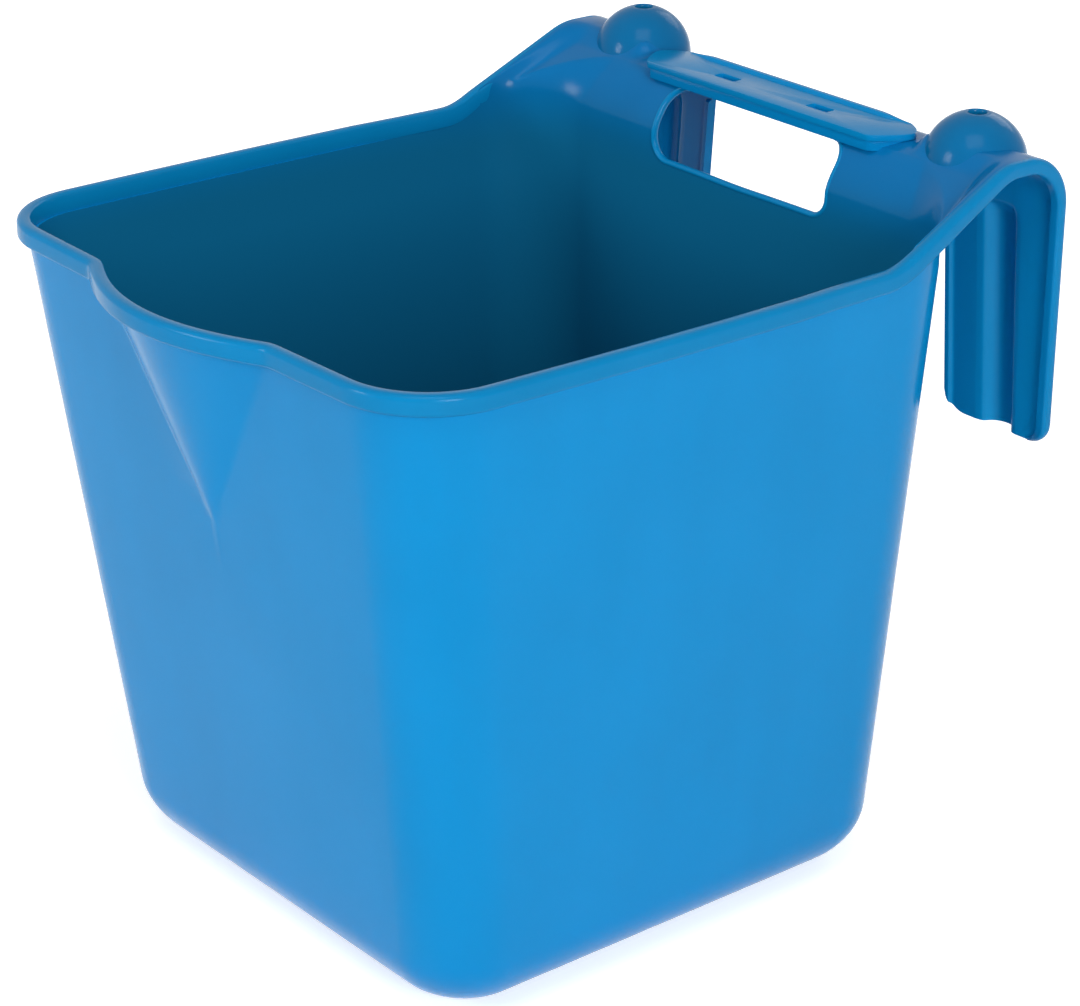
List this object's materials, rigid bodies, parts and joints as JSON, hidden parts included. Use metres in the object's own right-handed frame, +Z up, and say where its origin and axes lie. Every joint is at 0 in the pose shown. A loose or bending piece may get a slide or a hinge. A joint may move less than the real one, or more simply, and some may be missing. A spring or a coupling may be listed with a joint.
{
  "type": "hook-over feed trough",
  "caption": "Square drafted plastic feed trough with a pouring spout, hooks that drop over a rail or board, and a carrying handle with a hand hole.",
  "frame": {"origin": "centre of the resting face under the base", "axes": "+Z up out of the tub's mouth; -Y towards the spout, +Y towards the hooks and handle; +X to the right when the spout is nearest"},
  "size_m": [0.2824, 0.3539, 0.315],
  "materials": {
    "tub_plastic": "glossy moulded plastic",
    "rim_plastic": "glossy moulded plastic",
    "hook_plastic": "glossy moulded plastic",
    "dome_plastic": "glossy moulded plastic",
    "handle_plastic": "glossy moulded plastic",
    "plate_plastic": "glossy moulded plastic"
  },
  "bodies": {
    "root": {"tub": "tub_plastic", "rim_band": "rim_plastic", "left_hook": "hook_plastic", "right_hook": "hook_plastic", "left_hook_band": "rim_plastic", "right_hook_band": "rim_plastic", "left_dome": "dome_plastic", "right_dome": "dome_plastic", "carry_handle": "handle_plastic", "handle_top_plate": "plate_plastic"}
  },
  "joints": []
}
